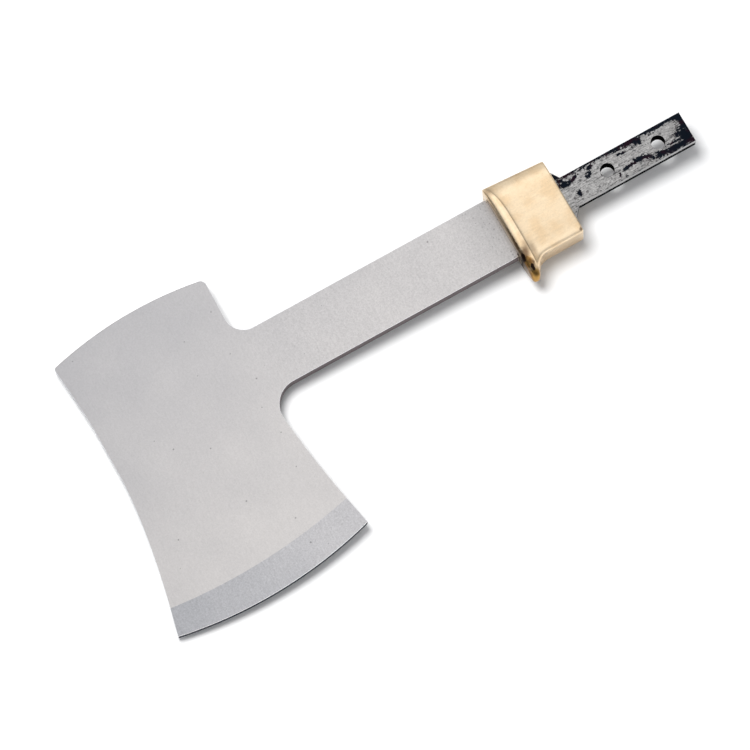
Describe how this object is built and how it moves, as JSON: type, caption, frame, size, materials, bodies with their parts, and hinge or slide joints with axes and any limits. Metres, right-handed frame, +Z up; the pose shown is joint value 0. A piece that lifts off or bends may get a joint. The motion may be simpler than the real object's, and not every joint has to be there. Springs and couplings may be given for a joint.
{
  "type": "axe blade blank",
  "caption": "Flat ground steel hatchet head with a bevelled bit and drilled tang, and a fitted brass guard with a finger lip, ready for a handle.",
  "frame": {"origin": "centre of the bounding box on the ground, with the blank lying on one side of the head and on its guard", "axes": "+X along the neck towards the tang's end, +Y towards the poll, away from the cutting edge, +Z up"},
  "size_m": [0.2914, 0.135, 0.0197],
  "materials": {
    "ground_steel": "fine ground satin, with dark heat scale left on the tang",
    "satin_brass": "soft satin polish"
  },
  "bodies": {
    "root": {"steel_blank": "ground_steel", "brass_guard": "satin_brass"}
  },
  "joints": []
}
